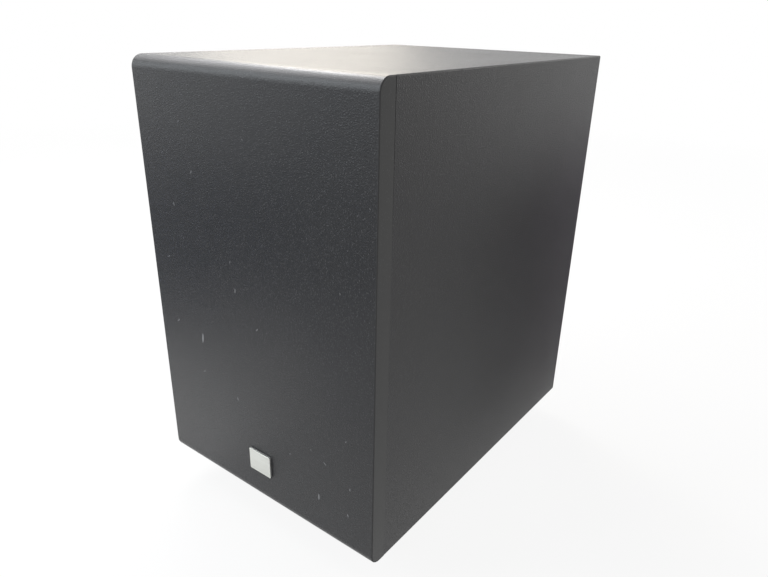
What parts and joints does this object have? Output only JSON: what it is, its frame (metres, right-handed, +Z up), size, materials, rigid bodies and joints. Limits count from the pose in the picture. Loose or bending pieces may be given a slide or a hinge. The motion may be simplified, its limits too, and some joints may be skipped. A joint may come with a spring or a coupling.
{
  "type": "powered subwoofer",
  "caption": "Free-standing box loudspeaker for bass: vinyl-clad board cabinet on feet, floor-firing woofer, rear port and amplifier plate with controls and sockets.",
  "frame": {"origin": "on the floor, under the middle of the whole outline", "axes": "+X to the right as seen from the front, +Y to the rear, +Z up; the front panel faces -Y"},
  "size_m": [0.254, 0.372, 0.413],
  "materials": {
    "cabinet_vinyl": "board wrapped in grained black vinyl",
    "raw_board": "raw wood",
    "wadding": "loose polyester wadding",
    "badge_metal": "satin",
    "foot_plastic": "fine grain",
    "foot_rubber": "matt",
    "port_plastic": "fine grain",
    "foam_seal": "closed-cell foam",
    "basket_steel": "black powder coat",
    "cone_paper": "pressed paper",
    "cap_paper": "pressed paper",
    "surround_rubber": "satin rubber",
    "spider_cloth": "resin-stiffened cloth",
    "former_film": "amber film",
    "copper": "enamelled copper",
    "motor_steel": "zinc plated",
    "ferrite": "matt ceramic magnet",
    "brass_tabs": "bright",
    "black_screws": "black oxide",
    "zinc_screws": "zinc plated",
    "plate_paint": "black texture paint",
    "circuit_board": "green solder mask",
    "bare_aluminium": "extruded",
    "chip_plastic": "moulded",
    "capacitor_sleeve": "shrink sleeve",
    "transformer_tape": "taped winding",
    "case_steel": "zinc plated",
    "shaft_metal": "turned",
    "knob_plastic": "satin",
    "led_lens": "clear green",
    "jack_metal": "nickel plated",
    "white_plastic": "moulded",
    "red_plastic": "moulded",
    "switch_plastic": "moulded",
    "lead_sleeve": "sleeved wire",
    "speaker_sleeve": "sleeved wire"
  },
  "bodies": {
    "cabinet": {"front_panel": "cabinet_vinyl", "top_board": "cabinet_vinyl", "bottom_board": "cabinet_vinyl", "left_board": "cabinet_vinyl", "right_board": "cabinet_vinyl", "rear_board": "cabinet_vinyl", "rear_battens": "raw_board", "front_dowels": "raw_board", "acoustic_wadding": "wadding", "badge": "badge_metal", "feet": "foot_plastic", "foot_pads": "foot_rubber", "foot_screws": "zinc_screws", "port_tube": "port_plastic", "woofer_seal": "foam_seal", "woofer_basket": "basket_steel", "surround": "surround_rubber", "trim_ring": "surround_rubber", "spider": "spider_cloth", "motor_front_plate": "motor_steel", "magnet": "ferrite", "yoke": "motor_steel", "woofer_terminal": "brass_tabs", "tinsel_leads": "copper", "woofer_screws": "black_screws", "amp_plate": "plate_paint", "amp_seal": "foam_seal", "amp_screws": "black_screws", "main_board": "circuit_board", "standoffs": "zinc_screws", "board_screws": "zinc_screws", "heat_sink": "bare_aluminium", "power_chips": "chip_plastic", "smoothing_caps": "capacitor_sleeve", "transformer": "transformer_tape", "transformer_dish": "case_steel", "transformer_bolt": "zinc_screws", "pot_housings": "case_steel", "pot_nuts": "zinc_screws", "switch_housing": "case_steel", "status_led": "led_lens", "line_in_block": "chip_plastic", "line_in_shells": "jack_metal", "white_insert": "white_plastic", "red_insert": "red_plastic", "mains_inlet": "switch_plastic", "mains_pins": "brass_tabs", "rocker_frame": "switch_plastic", "power_leads": "lead_sleeve", "speaker_leads": "speaker_sleeve"},
    "moving_cone": {"woofer_cone": "cone_paper", "dust_cap": "cap_paper", "coil_former": "former_film", "voice_coil": "copper"},
    "level_control": {"level_shaft": "shaft_metal", "level_knob": "knob_plastic"},
    "crossover_control": {"crossover_shaft": "shaft_metal", "crossover_knob": "knob_plastic"},
    "phase_switch": {"phase_lever": "knob_plastic"},
    "power_switch": {"power_rocker": "switch_plastic"}
  },
  "joints": [
    {"name": "cone_stroke", "type": "slide", "parent": "cabinet", "child": "moving_cone", "axis": [0, 0, 1], "range_m": [-0.006, 0.006], "stiffness_N_per_m": 2000, "deforming": ["surround", "spider", "tinsel_leads"]},
    {"name": "level_turn", "type": "hinge", "parent": "cabinet", "child": "level_control", "pos_m": [0.042, 0.179, 0.222], "axis": [0, 1, 0], "range_deg": [-150, 150]},
    {"name": "crossover_turn", "type": "hinge", "parent": "cabinet", "child": "crossover_control", "pos_m": [-0.004, 0.179, 0.222], "axis": [0, 1, 0], "range_deg": [-150, 150]},
    {"name": "phase_slide", "type": "slide", "parent": "cabinet", "child": "phase_switch", "axis": [1, 0, 0], "range_m": [0, 0.004]},
    {"name": "power_tilt", "type": "hinge", "parent": "cabinet", "child": "power_switch", "pos_m": [-0.018, 0.1685, 0.11], "axis": [-1, 0, 0], "range_deg": [0, 18]}
  ]
}
